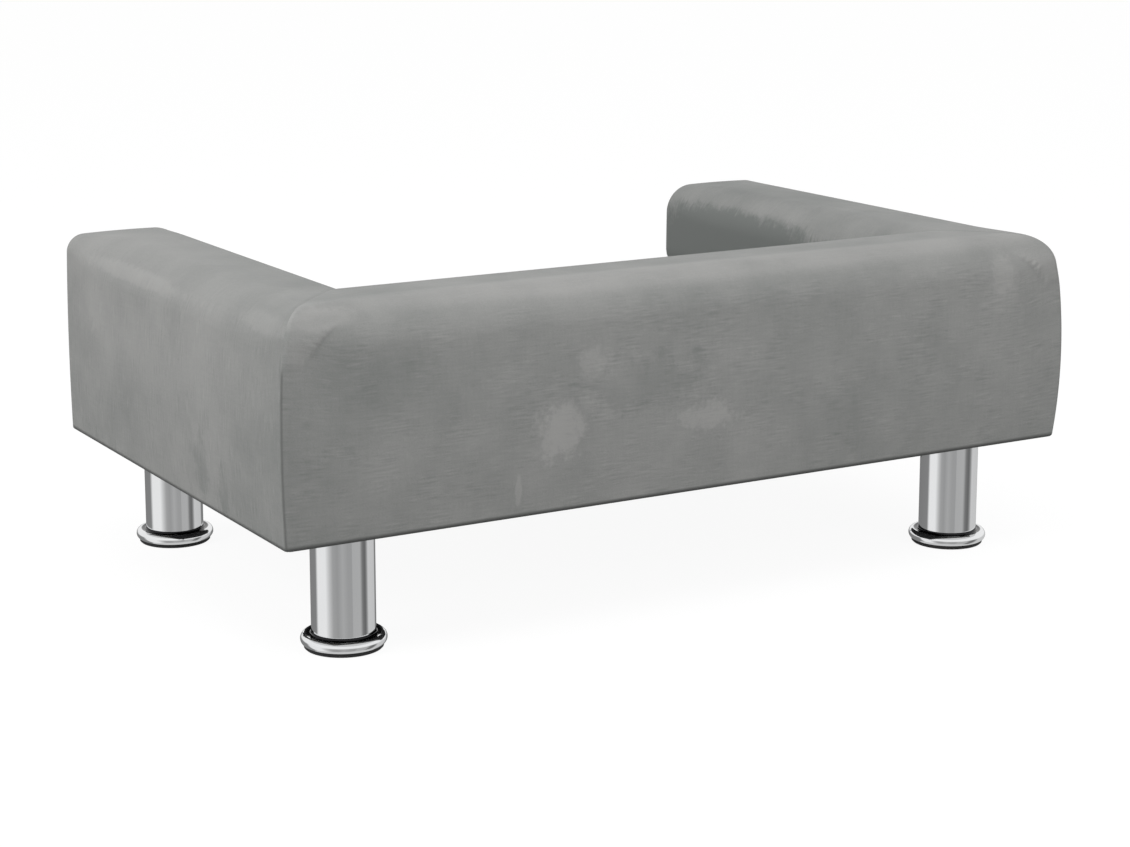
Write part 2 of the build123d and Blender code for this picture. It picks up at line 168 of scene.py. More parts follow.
def grid_faces(rows, cols, first):
    """Corner numbers of the quads of a grid of points stored row by row from a first number."""
    here = first + np.arange(rows - 1)[:, None] * cols + np.arange(cols - 1)[None, :]
    return np.stack([here, here + 1, here + cols + 1, here + cols], -1).reshape(-1, 4)


def grids_to_object(name, grids, patterns=None, loops=(), values=None):
    """One object from grids of points, each an array of rows by columns by three. The grids' shared
    edges are merged, loops are runs of corner numbers that get one flat face each, and normals point out.
    patterns holds, for each grid, the cloth's own place of each point in metres, kept as a UV map."""
    points = np.concatenate([g.reshape(-1, 3) for g in grids])
    starts = np.cumsum([0] + [g.shape[0] * g.shape[1] for g in grids])
    faces = np.concatenate([grid_faces(g.shape[0], g.shape[1], s) for g, s in zip(grids, starts)])
    mesh = bpy.data.meshes.new(name)
    mesh.from_pydata(points.tolist(), [], faces.tolist() + [list(loop) for loop in loops])
    if patterns is not None:
        places = np.concatenate([p.reshape(-1, 2) for p in patterns])
        corners = np.zeros(len(mesh.loops), np.int32)
        mesh.loops.foreach_get("vertex_index", corners)
        cloth = mesh.uv_layers.new(name="cloth")
        cloth.data.foreach_set("uv", places[corners].ravel().astype(np.float32))
    for key, shares in (values or {}).items():
        kept = mesh.attributes.new(key, "FLOAT", "POINT")
        kept.data.foreach_set("value", shares.ravel().astype(np.float32))
    work = bmesh.new()
    work.from_mesh(mesh)
    bmesh.ops.remove_doubles(work, verts=work.verts, dist=merge_distance)
    bmesh.ops.dissolve_degenerate(work, edges=work.edges, dist=shortest_edge)
    bmesh.ops.recalc_face_normals(work, faces=work.faces)
    work.to_mesh(mesh)
    work.free()
    mesh.polygons.foreach_set("use_smooth", [True] * len(mesh.polygons))
    mesh.set_sharp_from_angle(angle=math.radians(sharp_angle))
    made = bpy.data.objects.new(name, mesh)
    scene.collection.objects.link(made)
    return made


sharp_angle = 50
merge_distance, shortest_edge = 2e-5, 1e-6
floor_reach = 30
floor_height = -0.0003
floor_white = 0.93
floor_shadow_share = 0.1
floor_bounce = 0.44
floor_lines = 7
span = np.linspace(-floor_reach, floor_reach, floor_lines)
floor_x, floor_y = np.meshgrid(span, span)
floor = grids_to_object("floor", [np.stack([floor_x, floor_y, 0 * floor_x + floor_height], -1)])
floor_finish, shade = finish("floor_white")
seen = shade.node("LightPath")
shadowed = shade.node("BsdfDiffuse", {}, {"Color": (floor_shadow_share,) * 3 + (1,)})
glowing = shade.node("Emission", {}, {"Strength": floor_white})
shown = shade.node("AddShader", {}, {0: shadowed, 1: glowing})
bounced = shade.node("BsdfDiffuse", {}, {"Color": (floor_bounce,) * 3 + (1,)})
mixed = shade.node("MixShader", {}, {0: seen, 1: bounced, 2: shown})
shade.node("OutputMaterial", {}, {"Surface": mixed})
floor.data.materials.append(floor_finish)
floor.visible_glossy = False

# Studio light: a white room and three wide soft lights, overhead, from the left arm's side and from
# behind. Grey and white panels round the set are for the chrome to mirror. Nothing else sees them.
room_light = 0.76
world = bpy.data.worlds.new("studio")
world.use_nodes = True
world.node_tree.nodes.clear()
scene.world = world
shade = Shade(world.node_tree)
seen = shade.node("LightPath")
strength = seen + (1 - seen) * room_light
shade.node("OutputWorld", {}, {"Surface": shade.node("Background", {}, {"Strength": strength})})


def soft_light(name, place, aim, size, power):
    """A square area light at a place, aimed at a point."""
    lamp = bpy.data.lights.new(name, "AREA")
    lamp.size = size
    lamp.energy = power
    made = bpy.data.objects.new(name, lamp)
    made.location = place
    made.rotation_euler = (Vector(aim) - Vector(place)).to_track_quat("-Z", "Y").to_euler()
    scene.collection.objects.link(made)
    made.visible_glossy = False


soft_light("overhead_light", (0.3, 0.5, 2.4), (0, 0, 0.1), 1.8, 17)
soft_light("side_light", (2.4, 0.3, 1.3), (0, 0, 0.15), 1.4, 24)
soft_light("rear_light", (-0.6, 2.6, 1.2), (0, 0, 0.15), 1.4, 14)

panel_distance = 2.2
panel_low, panel_high = -2.6, 1.6
panel_stops = (
    (0, 0.42),
    (16, 0.34),
    (30, 0.38),
    (42, 0.60),
    (54, 0.87),
    (86, 0.87),
    (97, 0.24),
    (206, 0.20),
    (216, 0.58),
    (262, 0.62),
    (271, 0.28),
    (279, 0.14),
    (291, 0.20),
    (301, 0.45),
    (328, 0.44),
    (344, 0.36),
    (360, 0.42),
)
panel_ceiling = 0.9
panel_glow_low, panel_glow_high = -0.3, 0.15
panel_turns = 97
turn = np.linspace(0, 2 * math.pi, panel_turns)
ring = np.stack([panel_distance * np.sin(turn), panel_distance * np.cos(turn)], -1)
heights = np.array([panel_low, panel_high])
panel_wall = [np.tile(ring[:, 0], (2, 1)), np.tile(ring[:, 1], (2, 1)), heights[:, None] + 0 * turn]
panels = grids_to_object("studio_panels", [np.stack(panel_wall, -1)])
panel_finish, shade = finish("studio_panels")
place_x, place_y, place_z = shade.place().parts()
heading = shade.maths("ARCTAN2", place_x * -1, place_y * -1) * (0.5 / math.pi) + 0.5
view_heading = 180 - math.degrees(camera_turn)
stops = sorted((((h - view_heading + 180) % 360) / 360, (v,) * 3) for h, v in panel_stops)
ramp = shade.node("ValToRGB", {"stops": stops}, {0: heading})
glow = place_z.step(panel_glow_low, panel_glow_high).between(ramp, (panel_ceiling,) * 3 + (1,))
shade.node("OutputMaterial", {}, {"Surface": shade.node("Emission", {}, {"Color": glow})})
panels.data.materials.append(panel_finish)
for ray in ("camera", "diffuse", "transmission", "shadow", "volume_scatter"):
    setattr(panels, "visible_" + ray, False)

# Padded walls: the back and the two arms are pine and hardboard frames in foam under grey velvet,
# sewn together on mitre seams at the rear corners and turned in under the base. The arms' rounded
# fronts have a seam round the front panel.
wall_low, wall_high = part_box("back_cover")
half_width, half_depth = wall_high.x, wall_high.y
foot = wall_low.z
wall_thickness = half_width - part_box("left_arm_cover")[0].x
side_proud, side_foot = 0.003, 0.0007
side_middle = 0.165
inner_proud = 0.0055
press_low, press_high = 0.181, 0.197
edge_round, front_edge_round, front_inner_round = 0.035, 0.0155, 0.026
corner_edge_round, corner_blend = 0.025, 0.05
top_crest, front_crest = 0.2638, 0.2602
top_bulge, front_top_bulge = 0.0026, 0.0012
front_bulge = 0.0008
front_edge = 0.0105
front_reach = 0.075
flat_start = 0.35
foot_fold = 0.002
hem_width = 0.026
hem_thickness = 0.0019
side_chord = side_middle - foot
spine_top = 0.236
face_steps = np.concatenate([[0, 0.003, 0.008, 0.016, 0.03], np.linspace(0.06, 1, 27)])
edge_count, top_count, inner_count = 34, 12, 26
arm_rows, back_rows = 84, 101


def between_circles(first, first_radius, second, second_radius):
    """The higher of the two points at these distances from two centres."""
    gap = second - first
    length = np.hypot(*gap)
    along = (first_radius**2 - second_radius**2 + length**2) / (2 * length)
    aside = math.sqrt(max(first_radius**2 - along**2, 0))
    foot_point = first + along * gap / length
    normal = np.array([-gap[1], gap[0]]) / length
    return max(foot_point + aside * normal, foot_point - aside * normal, key=lambda p: p[1])


def arc(centre, radius, start, end, count):
    """Points on an arc between two angles."""
    angles = np.linspace(start, end, count)
    return np.stack([centre[0] + radius * np.cos(angles), centre[1] + radius * np.sin(angles)], -1)


def smooth(share):
    """Smooth rise from 0 to 1 while the share goes from 0 to 1."""
    share = np.clip(share, 0, 1)
    return share * share * (3 - 2 * share)


def wall_section(inset=0.0, front=0.0, flat=1.0, outer_round=edge_round):
    """The wall's skin as (inwards from the outer face, up), moved inwards by an inset: a crowned outer
    face, a rounded edge, a crowned top, a rounded edge and the inner face, from foot to foot. Below,
    the cushion presses the inner face flat. With front at 1 it is the squarer, lower end of an arm, and
    flat goes from 0 for the fully crowned outer face to 1 for a plain one."""
    edge = max(outer_round + front * (front_edge_round - outer_round) - inset, 0)
    inner_edge = max(edge_round + front * (front_inner_round - edge_round) - inset, 0)
    crest = top_crest + front * (front_crest - top_crest)
    bulge = top_bulge + front * (front_top_bulge - top_bulge)
    proud = side_proud * (1 - flat)
    side_radius = (side_chord**2 + (proud + side_foot) ** 2) / (2 * (proud + side_foot))
    side_centre = np.array([side_radius - proud, side_middle])
    half = (wall_thickness + proud + inner_proud) / 2
    radius = (half**2 + bulge**2) / (2 * bulge)
    centre = np.array([half - proud, crest - radius])
    turned = between_circles(side_centre, side_radius - inset - edge, centre, radius - inset - edge)
    inner_x = wall_thickness + inner_proud - inset - inner_edge
    inner_z = centre[1] + math.sqrt((radius - inset - inner_edge) ** 2 - (inner_x - centre[0]) ** 2)
    side_angle = math.atan2(*(turned - side_centre)[::-1])
    top_start = math.atan2(*(turned - centre)[::-1])
    top_end = math.atan2(inner_z - centre[1], inner_x - centre[0])
    reach = side_radius - inset
    up = foot + face_steps * (side_centre[1] + reach * math.sin(side_angle) - foot)
    outer = np.stack([side_centre[0] - np.sqrt(reach**2 - (up - side_middle) ** 2), up], -1)
    down = foot + face_steps[::-1] * (inner_z - foot)
    swell = inner_proud * smooth((down - press_low) / (press_high - press_low))
    face = np.stack([wall_thickness - inset + swell, down], -1)
    for part, inwards in ((outer, 1), (face, -1)):
        fold = np.clip(foot_fold - (part[:, 1] - foot), 0, foot_fold)
        part[:, 0] += inwards * (foot_fold - np.sqrt(foot_fold**2 - fold**2))
    return np.concatenate(
        [
            outer,
            arc(turned, edge, side_angle, top_start, edge_count)[1:],
            arc(centre, radius - inset, top_start, top_end, top_count)[1:],
            arc((inner_x, inner_z), inner_edge, top_end, 0, inner_count)[1:],
            face[1:],
        ]
    )


def front_spine():
    """The section drawn together onto an upright line in the middle of the front panel."""
    sides = foot + face_steps * (spine_top - foot)
    count = len(wall_section()) - 2 * len(face_steps)
    up = np.concatenate([sides, np.full(count, spine_top), sides[::-1]])
    return np.stack([np.full(len(up), wall_thickness / 2), up], -1)


def lengths_along(path):
    """Distance of each point from the path's start."""
    return np.concatenate([[0], np.cumsum(np.hypot(*np.diff(path, axis=0).T))])


def to_the_right(tangent):
    """Unit steps square to a path's own directions, on its right hand."""
    return np.stack([tangent[:, 1], -tangent[:, 0]], -1) / np.hypot(*tangent.T)[:, None]


section = wall_section(flat=0)
corner_section = wall_section(flat=0, outer_round=corner_edge_round)
section_length = lengths_along(section)
section_inwards = to_the_right(np.gradient(corner_section, axis=0))
edge_start = len(face_steps) - 1
roll_low, roll_rise = 0.222, 0.026
roll_inner, roll_fade = 0.075, 0.03
sharp_corner, soft_corner = 0.0012, 0.0036
rolled = np.clip((corner_section[:, 1] - roll_low) / roll_rise, 0, 1)
rolled = rolled * np.clip((roll_inner - corner_section[:, 0]) / roll_fade, 0, 1)
corner_round = sharp_corner + soft_corner * smooth(rolled)
seam_depth = 0.0005
seam_reach = 0.0015
corner_rows = np.concatenate([[0, 0.0007, 0.0015, 0.0024, 0.0036], np.arange(0.005, 0.0521, 0.0018)])
away_from_corner = 1.0
front_turns = np.radians([8, 16, 24, 32, 40, 48, 55, 60, 63, 66, 69, 72, 75, 80, 85, 90])
front_seam_turn, front_seam_spread = np.radians((67.5, 3.4))
front_seam_depth, front_seam_dark = 0.0009, 0.5
panel_shares = (0.1, 0.22, 0.36, 0.52, 0.68, 0.84, 1)
panel_swell = 0.0012
cap_step = 0.004
under_columns = (0.012, 0.02, hem_width, hem_width + 0.0003, 0.045, 0.066)
fold_column = 0.0015


def bow(up):
    """How far the crowned front stands back at a height."""
    return front_bulge * ((up - side_middle) / side_chord) ** 2


def at_corner(inwards, past):
    """Plan places of the wall's skin near a rear corner, in the frame of the left one. Along the arm the
    path runs straight, then round a small arc whose middle lies on the mitre, and past is the way back
    from there. The back's side of the corner is this one with x and y exchanged about the mitre."""
    half_arc = corner_round * math.pi / 4
    angle = math.pi / 4 - np.minimum(past, half_arc) / corner_round
    straight = np.maximum(past - half_arc, 0)
    return (
        -inwards - corner_round + corner_round * np.cos(angle),
        -inwards - corner_round + corner_round * np.sin(angle) - straight,
    )


def seamed_section(past):
    """The section for rows beside a mitre seam: its outer edge is rolled more tightly towards the seam,
    and it is drawn in where the seam pulls the velvet down."""
    near = (1 - smooth(past / corner_blend))[:, None, None]
    dip = seam_depth * np.exp(-((past / seam_reach) ** 2))
    return section + near * (corner_section - section) + dip[:, None, None] * section_inwards


def wall_foot(hem):
    """Height of the wall's underside: the hem lies under the board, and the rest is above it."""
    return np.where(hem, foot, foot + hem_thickness)


def arm_grids():
    """Skin and underside of the left arm. Rows run from the mitre to the front, where the section is
    drawn in round a quarter circle and then onto the front panel's spine."""
    near = seamed_section(corner_rows)
    across, along = at_corner(near[..., 0], corner_rows[:, None])
    near_y = half_depth + along
    near_x = half_width + across
    steps = np.linspace(0, 1, arm_rows)[1:]
    front_share = smooth(1 - (1 - steps) * (2 * half_depth - front_edge - corner_rows[-1]) / front_reach)
    flat_share = smooth((steps - flat_start) / (1 - flat_start))
    far = np.array([wall_section(0, share, flat) for share, flat in zip(front_share, flat_share)])
    front_line = -half_depth + front_edge + bow(far[..., 1])
    far_y = near_y[-1] + steps[:, None] * (front_line - near_y[-1])
    far_x = half_width - far[..., 0]
    seam = np.exp(-(((front_turns - front_seam_turn) / front_seam_spread) ** 2))
    cap, cap_y = [], []
    for angle, drawn in zip(front_turns, seam):
        reach = front_edge - front_seam_depth * drawn
        ring = wall_section(front_edge - reach * math.cos(angle), 1)
        cap.append(ring)
        cap_y.append(-half_depth + front_edge + bow(ring[:, 1]) - reach * math.sin(angle))
    outer_ring, spine = cap[-1], front_spine()
    for share in panel_shares:
        ring = outer_ring + share * (spine - outer_ring)
        cap.append(ring)
        cap_y.append(-half_depth + bow(ring[:, 1]) - panel_swell * (1 - (1 - share) ** 2))
    cap, cap_y = np.array(cap), np.array(cap_y)
    up = np.concatenate([near[..., 1], far[..., 1], cap[..., 1]])
    x = np.concatenate([near_x, far_x, half_width - cap[..., 0]])
    y = np.concatenate([near_y, far_y, cap_y])
    skin = np.stack([x, y, up], -1)
    plain = len(corner_rows) + len(steps)
    cap_run = y[plain - 1] - cap_step * np.arange(1, len(cap) + 1)[:, None] + 0 * cap_y
    run = np.concatenate([y[:plain], cap_run])
    pattern = np.stack([run, section_length[None] + 0 * run], -1)
    left, right = cap[:, 0, 0], cap[:-1, -1, 0][::-1]
    columns = np.concatenate([[section[0, 0]], left, right, [section[-1, 0]]])
    share = (columns - columns[0]) / (columns[-1] - columns[0])
    under_y = y[:plain, :1] + share * (y[:plain, -1:] - y[:plain, :1])
    front_y = np.concatenate([[y[plain - 1, 0]], cap_y[:, 0], cap_y[:-1, -1][::-1], [y[plain - 1, -1]]])
    under_y = np.concatenate([under_y, front_y[None]])
    under_a = np.repeat(columns[None], len(under_y), 0)
    hem = (under_a < hem_width) | (under_y < -half_depth + hem_width)
    under_z = wall_foot(hem)
    skin[:plain, -1, 2] = under_z[:-1, -1]
    under = np.stack([half_width - under_a, under_y, under_z], -1)
    under[:plain, 0], under[:plain, -1] = skin[:plain, 0], skin[:plain, -1]
    past = np.concatenate([corner_rows, np.full(len(skin) - len(corner_rows), away_from_corner)])[:, None]
    lines = seams_and_fold_shade(skin.shape[:2], past, skin[..., 2])
    lines[plain : -len(panel_shares)] += front_seam_dark * seam[:, None]
    return [skin, under], [pattern, np.stack([under_y, -under_a], -1)], lines


def back_grids():
    """Skin and underside of the back. Rows run from one mitre to the other."""
    seamed = seamed_section(corner_rows)
    across, along = at_corner(seamed[..., 0], corner_rows[:, None])
    over = np.array([lengths_along(row) for row in seamed]) - section_length[edge_start]
    proud, tuck_share = tuck_height(corner_rows[:, None], over)
    near = seamed - proud[..., None] * section_inwards[None]
    near_x = half_width + along
    near_y = half_depth + across - (near[..., 0] - seamed[..., 0])
    steps = np.linspace(0, 1, back_rows)[1:-1, None]
    middle_x = near_x[-1] - 2 * steps * near_x[-1]
    x = np.concatenate([near_x, middle_x, -near_x[::-1]])
    y = np.concatenate([near_y, np.repeat(near_y[-1:], len(steps), 0), near_y[::-1]])
    up = np.concatenate([near[..., 1], np.repeat(section[None, :, 1], len(steps), 0), near[::-1, :, 1]])
    skin = np.stack([x, y, up], -1)
    tucked = np.concatenate([tuck_share, 0 * middle_x, tuck_share[::-1]])
    pattern = np.stack([x, section_length[None] + 0 * x], -1)
    first, last = section[0, 0], section[-1, 0]
    columns = np.array([first, first + fold_column, *under_columns, last])
    share = (columns - columns[0]) / (columns[-1] - columns[0])
    under_x = x[:, :1] + share * (x[:, -1:] - x[:, :1])
    under_z = wall_foot(columns <= hem_width) + 0 * under_x
    skin[:, -1, 2] = under_z[:, -1]
    under = np.stack([under_x, half_depth - columns + 0 * under_x, under_z], -1)
    under[:, 0], under[:, -1] = skin[:, 0], skin[:, -1]
    past = np.concatenate([corner_rows, np.full(len(steps), away_from_corner), corner_rows[::-1]])[:, None]
    lines = seams_and_fold_shade(skin.shape[:2], past, up)
    return [skin, under], [pattern, np.stack([under_x, -columns + 0 * under_x], -1)], tucked, lines


tuck_drop = 0.006
tuck_start, tuck_slant = 0.015, 0.86
tuck_far_blur, tuck_low_blur = 0.0024, 0.0018
tuck_top, tuck_fade = 0.031, 0.016
tuck_ridge = 0.007
crease_run, crease_rise, crease_pitch = 0.62, 0.78, 0.0046
crease_middle, crease_spread = 0.003, 0.0038
tuck_proud, crease_proud = 0.0011, 0.0008


def tuck_height(past, over):
    """Where the arm's velvet wraps over the rounded corner onto the back and is gathered into a short
    tuck: how far it stands proud, and its share of the surface, by the distance past the mitre and the
    way up from the foot of the rolled edge. Its lower edge is level, its far edge rises at a slant."""
    over = over + tuck_drop
    slant = past - (tuck_start + tuck_slant * over)
    inside = np.clip(0.5 - slant / tuck_far_blur, 0, 1) * np.clip(0.5 + over / tuck_low_blur, 0, 1)
    fade = smooth((tuck_top - over) / tuck_fade)
    from_ridge = smooth(past / tuck_ridge)
    waves = np.cos((past * crease_run + over * crease_rise) * 2 * math.pi / crease_pitch)
    creases = waves * np.exp(-((slant + crease_middle) ** 2) / crease_spread**2)
    share = inside * fade * from_ridge
    return share * (tuck_proud + crease_proud * creases), share


seam_line_width, seam_line_dark = 0.0011, 0.62
seam_line_top, seam_line_fade = 0.226, 0.004
# Painted shade along the turned-in lower edge: how high above the foot it reaches and how it fades.
painted_fold_shade_top, painted_fold_shade_fade = 0.0044, 0.0028


def seams_and_fold_shade(shape, past, up):
    """Share of the darkest velvet on each point of a wall's skin: a dark mitre seam below the tuck, by the
    distance past the seam, and painted shade along the turned-in lower edge."""
    seam = np.exp(-((past / seam_line_width) ** 2)) * smooth((seam_line_top - up) / seam_line_fade)
    # painted shade along the turned-in lower edge
    low = smooth((foot + painted_fold_shade_top - up) / painted_fold_shade_fade)
    return np.maximum(seam_line_dark * seam, low) + np.zeros(shape)


def end_loop(grids, row):
    """Corner numbers round the open end of a wall, at one row of its skin and underside."""
    skin, under = grids
    skin_row = (row % skin.shape[0]) * skin.shape[1]
    under_row = skin.shape[0] * skin.shape[1] + (row % under.shape[0]) * under.shape[1]
    around = list(range(skin_row, skin_row + skin.shape[1]))
    return around + list(range(under_row + under.shape[1] - 2, under_row, -1))


dark_velvet = (0.17292, 0.1834, 0.17685, 1)
pale_velvet = (0.35632, 0.3537, 0.34584, 1)
# Darkest velvet, for dark seams and for painted shade along the turned-in lower edges.
seam_and_shade_velvet = (0.0786, 0.08122, 0.0786, 1)
calm_low, calm_high, calm_share = 0.234, 0.258, 0.6
broad_share, patch_share, drawn_share, pile_share = 0.36, 0.34, 0.7, 0.2
tone_start, tone_low, tone_high = 0.13, 0.2, 0.96
# Painted highlight on the gathered tuck at the rear corners, added to the velvet's tone.
tuck_painted_highlight = 0.13
mark_inner, mark_outer = 0.55, 1.15


def velvet_finish(name, streaks, marks=()):
    """Short-pile grey velvet. streaks holds how many pattern cells a metre of the cloth has along and
    across the run of the piece. marks are soft patches of changed tone: centre, half sizes, strength,
    which is below 0 where the patch is darker, and how ragged the edge is. Some are brushed marks in the
    pile, and some are painted highlights or painted shade. The attribute tuck holds where the gathered
    tuck gets a painted highlight, and line holds where a seam is dark and where painted shade darkens the
    turned-in lower edge. On the tops, from calm_low up, the streaks are fainter."""
    material, shade = finish(name)
    place = shade.place()
    cloth = shade.node("UVMap", {"uv_map": "cloth"})
    broad = place.noise(5.0, 2.0)
    patch = place.noise(24.0, 4.0)
    streak = cloth.stretched((streaks[0], streaks[1], 1)).noise(1.0, 3.0)
    cross = cloth.stretched((streaks[1], streaks[0], 1)).noise(0.7, 2.0)
    pile = place.noise(1300.0, 1.0)
    flecks = (streak - 0.5) * place.noise(60.0, 2.0).step(0.45, 0.62)
    calm = 1 - place.parts()[2].step(calm_low, calm_high) * calm_share
    drawn = (streak * 0.2 + flecks * 0.42 + cross * 0.1 - 0.15) * calm
    tone = broad * broad_share + patch * patch_share + drawn * drawn_share + pile * pile_share + tone_start
    ragged = place.noise(48.0, 4.0) * 1.9 + place.noise(210.0, 3.0) * 1.3 + streak * 0.8 - 2.0
    for centre, size, strength, edge in marks:
        offset = shade.node("VectorMath", {"operation": "SUBTRACT"}, {0: place, 1: centre})
        offset = shade.node("VectorMath", {"operation": "DIVIDE"}, {0: offset, 1: size})
        far = shade.node("VectorMath", {"operation": "LENGTH"}, {0: offset}, output=1)
        tone = tone + (1 - (far + ragged * edge).step(mark_inner, mark_outer)) * strength
    tuck = shade.node("Attribute", {"attribute_name": "tuck"}, output=2)
    line = shade.node("Attribute", {"attribute_name": "line"}, output=2)
    tone = (tone + tuck * tuck_painted_highlight).step(tone_low, tone_high)
    colour = line.between(tone.between(dark_velvet, pale_velvet), seam_and_shade_velvet)
    height = (streak * 0.5 + cross * 0.3) * calm + pile * 0.45
    sockets = {
        "Base Color": colour,
        "Roughness": 0.82 + patch * 0.14,
        "Normal": height.bump(0.28, 0.0005),
        "Specular IOR Level": 0.2,
        "Sheen Weight": 0.08,
        "Sheen Roughness": 0.45,
    }
    shade.surface(sockets)
    return material


along_streaks = (62.0, 560.0)
around_streaks = (560.0, 62.0)
back_marks_and_painted_light = (
    # brushed marks in the pile, paler or darker
    ((0.131, 0.227, 0.156), (0.020, 0.05, 0.023), 0.25, 0.8),
    ((-0.001, 0.227, 0.152), (0.028, 0.05, 0.011), 0.17, 1),
    ((0.272, 0.227, 0.147), (0.026, 0.05, 0.024), 0.06, 1),
    ((0.102, 0.227, 0.202), (0.013, 0.05, 0.013), 0.13, 1),
    ((0.164, 0.227, 0.115), (0.003, 0.05, 0.014), 0.16, 0.6),
    ((0.060, 0.227, 0.185), (0.06, 0.05, 0.024), -0.08, 0.8),
    ((-0.290, 0.227, 0.235), (0.012, 0.05, 0.02), 0.12, 1),
    # painted highlights on the back's rolled top edge, by the left rear corner and along the whole back
    ((0.318, 0.209, 0.2545), (0.034, 0.03, 0.008), 0.16, 0.3),
    ((0.000, 0.2005, 0.260), (0.42, 0.0175, 0.02), 0.13, 0.2),
)
arm_marks_and_painted_light = (
    # brushed marks in the pile on the left arm's outer face
    ((0.352, 0.079, 0.125), (0.05, 0.014, 0.026), -0.11, 0.8),
    ((0.352, 0.118, 0.112), (0.05, 0.009, 0.02), -0.09, 0.8),
    ((0.352, -0.149, 0.212), (0.05, 0.022, 0.026), 0.06, 1),
    # painted highlights on the left arm's rolled top edge, over its upper part, and on the roll near its
    # rear
    ((0.340, -0.060, 0.246), (0.03, 0.12, 0.007), 0.12, 0.5),
    ((0.330, -0.060, 0.225), (0.08, 0.24, 0.06), 0.08, 0.3),
    ((0.336, 0.185, 0.249), (0.03, 0.05, 0.008), 0.1, 0.4),
    # a darker soft band along the right arm's top
    ((-0.300, -0.100, 0.264), (0.045, 0.16, 0.02), -0.1, 0.2),
    # painted shade in the seat well, on the right arm's inner face
    ((-0.2465, -0.095, 0.184), (0.016, 0.18, 0.072), -0.85, 0.2),
)
back_skin, back_pattern, tucked, back_lines = back_grids()
under_back = np.zeros(back_skin[1].shape[:2])
# The underside's edge at the fold carries the painted shade of the turned-in lower edge.
painted_fold_shade_back = under_back.copy()
painted_fold_shade_back[:, 0] = 1
back_values = {
    "tuck": np.concatenate([tucked.ravel(), under_back.ravel()]),
    "line": np.concatenate([back_lines.ravel(), painted_fold_shade_back.ravel()]),
}
back_ends = [end_loop(back_skin, 0), end_loop(back_skin, -1)]
back = grids_to_object("back_velvet", back_skin, back_pattern, back_ends, back_values)
back.data.materials.append(velvet_finish("velvet_back", along_streaks, back_marks_and_painted_light))
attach(back, "sofa")
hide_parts("back_cover", "back_foam")
arm_velvet = velvet_finish("velvet_arm", around_streaks, arm_marks_and_painted_light)
for side, mirror in (("left", 1), ("right", -1)):
    arm_skin, arm_pattern, arm_lines = arm_grids()
    # The underside's edges at the folds carry the painted shade of the turned-in lower edge.
    painted_fold_shade_arm = np.zeros(arm_skin[1].shape[:2])
    painted_fold_shade_arm[:, 0] = painted_fold_shade_arm[-1] = 1
    arm_values = {"line": np.concatenate([arm_lines.ravel(), painted_fold_shade_arm.ravel()])}
    for part in arm_skin:
        part[..., 0] *= mirror
    arm_name = side + "_arm_velvet"
    arm = grids_to_object(arm_name, arm_skin, arm_pattern, [end_loop(arm_skin, 0)], arm_values)
    arm.data.materials.append(arm_velvet)
    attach(arm, "sofa")
    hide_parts(side + "_arm_cover", side + "_arm_foam")

# Seat deck: foam on the board and over the front rail, under one velvet cover that turns down over
# the front and in under the base.
deck_low, deck_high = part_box("seat_cover")
deck_edge = 0.016
deck_swell = 0.0012
deck_end, deck_end_tuck, deck_front = 0.006, 0.0016, 0.004
deck_face_count, deck_edge_count, deck_fold_count = 8, 12, 5
deck_top_count, deck_columns = 24, 60


def deck_grid():
    """The deck's closed section, (forward, up), carried along X: up the crowned front, round the
    edge, back over the flat top and down behind, then forward under the board to the hem."""
    front, rear, top = deck_low.y, deck_high.y, deck_high.z
    rise = np.linspace(foot + foot_fold, top - deck_edge, deck_face_count)
    face = np.stack([front - deck_swell * np.sin(math.pi * (rise - foot) / (top - foot)), rise], -1)
    bend = (front + deck_edge, top - deck_edge)
    edge = arc(bend, deck_edge, math.pi, math.pi / 2, deck_edge_count)[1:]
    turned_in = (front + foot_fold, foot + foot_fold)
    fold = arc(turned_in, foot_fold, -math.pi / 2, -math.pi, deck_fold_count)[:-1]
    back_to = np.linspace(front + deck_edge, rear, deck_top_count)[1:]
    flat = np.stack([back_to, np.full(len(back_to), top)], -1)
    board, hem = foot + hem_thickness, front + hem_width
    under = np.array([(rear, board), (hem, board), (hem, foot)])
    loop = np.concatenate([fold, face, edge, flat, under, fold[:1]])
    x = np.linspace(deck_low.x, deck_high.x, deck_columns)
    ends = np.clip((np.abs(x) - deck_high.x + deck_end) / deck_end, 0, 1) ** 2
    y = loop[None, :, 0] + deck_end_tuck * ends[:, None] * (loop[None, :, 0] < front + deck_front)
    skin = np.stack([x[:, None] + 0 * y, y, loop[None, :, 1] + 0 * y], -1)
    return skin, np.stack([x[:, None] + 0 * y, lengths_along(loop)[None] + 0 * y], -1)


deck_skin, deck_pattern = deck_grid()
count = deck_skin.shape[1]
last = (deck_skin.shape[0] - 1) * count
deck_ends = [range(count - 1), range(last, last + count - 1)]
deck = grids_to_object("seat_deck_velvet", [deck_skin], [deck_pattern], deck_ends)
deck.data.materials.append(velvet_finish("velvet_deck", along_streaks))
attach(deck, "sofa")
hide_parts("seat_cover", "seat_foam", "front_rail_foam")

